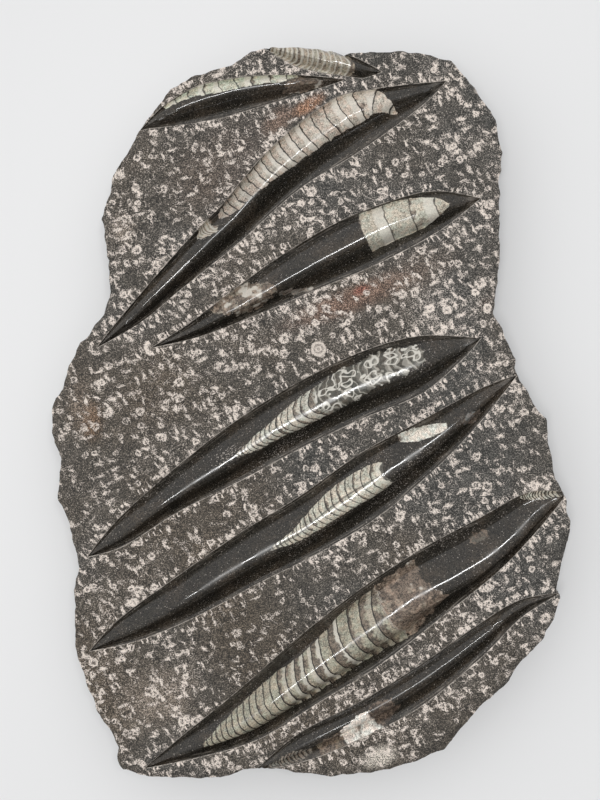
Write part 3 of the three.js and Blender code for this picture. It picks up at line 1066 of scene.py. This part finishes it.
def pecked_stone(shader, place, rim, fine, grain, mottle):
    """Colour, height and roughness of the stone between the hollows."""
    dust = shader.attribute("dust")
    granular = fine * 7.0 + grain * 3.4 + mottle * 1.6 + dust * 0.12 - 5.2
    ground = shader.scale(shader.attribute("stone_tint", "Color"), shader.math("MAXIMUM", granular, 0.22))

    bent = shader.bent(place, 0.42, 3.0, 3)
    marks = shader.attribute("peck") * 0.7
    layers = [stroke_layer(shader, bent, turn, size) for turn, size in STROKES]
    for layer in [*layers, pit_layer(shader, bent), rim_strokes(shader, rim)]:
        marks = shader.math("MAXIMUM", marks, layer)
    crowding = shader.noise(place, 24, 2, 0.5) * 1.2 + dust * 0.4 - 0.93
    crumbs = grain * 2.2 + fine * 4.0 + mottle * 0.7 - 3.45
    bruise = shader.math("POWER", (marks * 1.35 + crumbs + crowding).band(-0.1, 1.35), 1.15)
    disc, disc_height = crinoid_disc(shader, place, fine)
    bruise = shader.math("MAXIMUM", bruise * disc_height.band(0, 1, 1, 0), disc)
    colour = shader.mix(bruise, ground, PECK_PALE)

    scatter = shader.noise(place, 1.6, 3, 0.7).band(0.36, 0.56)
    edge = (rim + 0.2).line(0.16, 0.16) * scatter
    colour = shader.mix(edge * 0.7, colour, RIM_PALE)
    height = fine * 0.3 + grain * 0.4 + bruise * -0.22 + disc_height * 0.5
    return colour, height, bruise * 0.2 + grain * 0.1 + 0.66


def stroke_layer(shader, bent, turn, size):
    """Short chisel strokes that all lean one way, from 0 to 1, with about size millimetres between them."""
    distance, luck = shader.cells(shader.stretch(bent, turn, (0.42, 1.1, 1)), size)
    return distance.band(0.04, 0.36, 1, 0) * luck.band(0.4, 0.72)


def pit_layer(shader, bent):
    """Pale rings of crushed stone round the pits of a pointed chisel."""
    moved = shader.vector("ADD", bent, (PIT_SHIFT, PIT_SHIFT, 0))
    distance, luck = shader.cells(moved, PIT_SPACING)
    from_pit = distance * PIT_SPACING * (luck * 1.3 + 0.35)
    return from_pit.band(0.7, 1.5, 1, 0) * from_pit.band(0.2, 0.7, 0.45, 1) * luck.band(0.3, 0.6, 1, 0)


def rim_strokes(shader, rim):
    """Short strokes square to the rims, from 0 to 1, on the stone just outside the hollows."""
    beside = shader.node("CombineXYZ", {0: shader.attribute("rim_run"), 1: rim * 0.32}, "Vector")
    distance, luck = shader.cells(beside, RIM_STROKE_SPACING)
    reach = rim.band(-4.6, -3.0) * rim.band(-0.4, -0.1, 1, 0)
    return distance.band(0.05, 0.36, 1, 0) * luck.band(0.3, 0.42, 0, 1.2) * reach


def crinoid_disc(shader, place, fine):
    """Brightness and height, from 0 to 1, of the small round crinoid stem that shows in the stone."""
    away = shader.vector("DISTANCE", place, CRINOID, "Value")
    away = away + shader.noise(place, 1.6, 2, 0.6) * 1.6 - 0.8
    ring = (away - 2.7).line(0.55, 0.3) + (away - 1.1).line(0.3, 0.25)
    body = away.band(3.3, 3.7, 1, 0) * (fine * 1.4 - 0.25)
    return shader.math("MINIMUM", ring * 0.4 + body * 0.85, 0.9), away.band(2.9, 3.9, 1, 0)


def polished_stone(shader, place, rim, fine, grain, mottle):
    """Colour and roughness of the black stone ground smooth in the hollows, with painted reflection along the
    rims.
    """
    brown = shader.noise(place, 16, 4, 0.65).band(0.42, 0.7)
    ground = shader.mix(brown, POLISHED_BLACK, POLISHED_BROWN)
    ground = shader.scale(ground, fine * 5.0 + grain * 2.4 - 2.7)
    crowd = shader.noise(place, 9, 2, 0.5) * 0.5 + shader.attribute("crumbs") - 0.2
    speck = (shader.noise(place, 0.62, 1, 0.5) + crowd * 0.13 + grain * 0.3).band(0.83, 0.9)
    ground = shader.mix(speck * 0.8, ground, CRUMB_PALE)

    # Pale streaks just inside the rims: partly lines left by grinding, partly a painted reflection band on
    # the polished walls.
    along = shader.node("CombineXYZ", {0: shader.attribute("run") * 0.05, 1: rim}, "Vector")
    grinding_and_reflection_lines = shader.noise(along, 0.55, 3, 0.6)
    near_rim = rim.band(0.2, 2.6, 1, 0)
    ground = shader.mix(grinding_and_reflection_lines.band(0.5, 0.68) * near_rim * 0.5, ground, GRINDING_AND_REFLECTION_PALE)
    dull = shader.noise(place, 13, 2, 0.5).band(0.47, 0.62, 0, 0.16)
    return ground, mottle * 0.09 + grinding_and_reflection_lines * 0.05 + near_rim * 0.12 + dull + 0.03


def shell_stone(shader, place, fine, grain, mottle):
    """Colour of the calcite shells, where they are, and their height."""
    scramble = shader.attribute("scramble")
    wobble = shader.noise(place, 3.2, 3, 0.6) - 0.5
    frayed = shader.attribute("shell") + wobble * scramble * 6 + wobble * 1.2
    inside_shell = frayed.band(-0.12, 0.12)

    chamber_mm = shader.attribute("chamber_mm")
    warp = (shader.noise(place, 6.5, 2, 0.5) - 0.5) * scramble * 2.6
    count = shader.attribute("chambers") + warp + wobble * 1.4 / chamber_mm
    part = shader.math("FRACT", count)
    luck = shader.node("TexWhiteNoise", {"W": shader.math("FLOOR", count)}, "Value", noise_dimensions="1D")

    granular = fine * 2.8 + grain * 2.2 + mottle * 1.4 - 2.2
    hue = shader.noise(place, 2.6, 3, 0.6).band(0.4, 0.6)
    tint = shader.attribute("shell_tint", "Color")
    warm = shader.vector("MULTIPLY", tint, (1.06, 0.99, 0.93))
    cool = shader.vector("MULTIPLY", tint, (0.95, 1.0, 0.97))
    calcite = shader.scale(shader.mix(hue, warm, cool), granular)
    stained = shader.noise(place, 1.5, 5, 0.8).band(0.56, 0.68)
    calcite = shader.mix(stained * 0.45, calcite, CALCITE_STAIN)
    white = part.band(0.5, 0.62) * chamber_mm.band(3.5, 5.5) * luck.band(0.3, 0.5)
    calcite = shader.mix(white * 0.6, calcite, CALCITE_WHITE)

    filled = shader.attribute("mud") + (shader.noise(place, 4.0, 3, 0.6) - 0.5) * 2.0 + (luck - 0.5) * 0.7
    mud_grain = grain * 1.2 + fine * 0.8 + wobble * 0.5
    mud = shader.mix(mud_grain.band(0.82, 1.22), MUD_DARK, MUD_PALE)
    calcite = shader.mix((filled - part).band(-0.1, 0.1) * 0.85, calcite, mud)

    wall = shader.attribute("wall")
    from_wall = shader.math("PINGPONG", count, 0.5) * chamber_mm
    dark_wall = from_wall.line(0.28, 0.1) * shader.math("MAXIMUM", wall, 0.0)
    dark_wall = shader.math("MINIMUM", dark_wall, 1.0)
    pale_wall = from_wall.line(0.42, 0.25) * shader.math("MAXIMUM", wall * -1, 0.0)
    calcite = shader.mix(dark_wall * 0.94, calcite, WALL_DARK)
    calcite = shader.mix(pale_wall * 0.7, calcite, WALL_PALE)

    bent = shader.bent(place, 0.16, 1.0, 8)
    loops, _ = shader.cells(shader.stretch(bent, -32, (0.62, 1, 1)), 4.4, "3D")
    net = (loops - 0.4).line(0.06, 0.03) * shader.attribute("net")
    calcite = shader.mix(net * 0.85, calcite, NET_PALE)
    tube = (shader.attribute("tube") + wobble * 0.8).line(0.34, 0.2)
    calcite = shader.mix(tube * 0.7, calcite, TUBE_DARK)
    return calcite, inside_shell, dark_wall * -0.05 + fine * 0.02


def broken_stone(shader, place, fine, grain, mottle):
    """Colour and height of the broken sides and of the sawn underside."""
    dusty = shader.noise(place, 5, 5, 0.7).band(0.5, 0.72)
    broken = shader.scale(shader.mix(dusty, BROKEN_DARK, BROKEN_PALE), fine * 0.8 + mottle * 0.6 + 0.3)
    saw = shader.noise(shader.stretch(place, 12, (0.02, 1.0, 1)), 1.4, 3, 0.6)
    flat = shader.scale(shader.mix(mottle, SAWN_DARK, SAWN_PALE), saw * 0.5 + fine * 0.5 + 0.5)
    sawn = shader.attribute("sawn").band(0.4, 0.9)
    height = shader.mix_values(sawn, grain * 1.0 + fine * 0.35 + mottle * 1.2, saw * 0.3)
    return shader.mix(sawn, broken, flat), height


# ---------------------------------------------------------------------------------------------------
# Floor, light and camera
# ---------------------------------------------------------------------------------------------------


def placed(name, data):
    """A new object of the data, in the scene."""
    thing = bpy.data.objects.new(name, data)
    bpy.context.scene.collection.objects.link(thing)
    return thing


def floor():
    """Pale plain floor that the slab lies on."""
    mesh = bpy.data.meshes.new("floor")
    half = FLOOR_HALF * MM
    corners = [(-half, -half, 0), (half, -half, 0), (half, half, 0), (-half, half, 0)]
    mesh.from_pydata(corners, [], [(0, 1, 2, 3)])
    material = bpy.data.materials.new("floor")
    material.use_nodes = True
    shader = Shader(material.node_tree)
    grey = (FLOOR_GREY, FLOOR_GREY, FLOOR_GREY, 1)
    surface = shader.node("BsdfPrincipled", {"Base Color": grey, "Roughness": 0.9}, "BSDF")
    shader.node("OutputMaterial", {"Surface": surface})
    mesh.materials.append(material)
    plane = placed("floor", mesh)


def room_light():
    """Soft light, brightest overhead and towards the upper left, dim towards the lower right."""
    world = bpy.data.worlds.new("studio")
    world.use_nodes = True
    shader = Shader(world.node_tree)
    way = shader.node("TexCoord", {}, "Generated")
    facing = shader.vector("DOT_PRODUCT", way, Vector(LIGHT_SIDE).normalized(), "Value")
    strength = facing.band(-0.6, 0.8, DIM_SIDE, BRIGHT_SIDE)
    white = (0.985, 0.99, 1.0, 1)
    background = shader.node("Background", {"Color": white, "Strength": strength}, "Background")
    shader.node("OutputWorld", {"Surface": background})
    bpy.context.scene.world = world


def lamp(place, turn, width, depth, watts):
    """A lamp tube: a rectangle that faces down, turned about Z by so many degrees."""
    data = bpy.data.lights.new("tube", "AREA")
    data.shape = "RECTANGLE"
    data.size = width * MM
    data.size_y = depth * MM
    data.energy = watts
    light = placed("tube", data)
    light.location = Vector(place) * MM
    light.rotation_euler = (0, 0, math.radians(turn))


def camera():
    """A camera that looks straight down."""
    data = bpy.data.cameras.new("camera")
    data.lens = LENS
    data.sensor_width = 36
    data.clip_start = 0.01
    eye = placed("camera", data)
    eye.location = Vector(CAMERA) * MM
    bpy.context.scene.camera = eye


slab = slab_object()
slab.data.materials.append(fossil_limestone())
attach(slab, "root")
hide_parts("fossil_slab")
floor()
room_light()
lamp(**LAMP)
camera()
bpy.context.scene.view_settings.view_transform = "Standard"
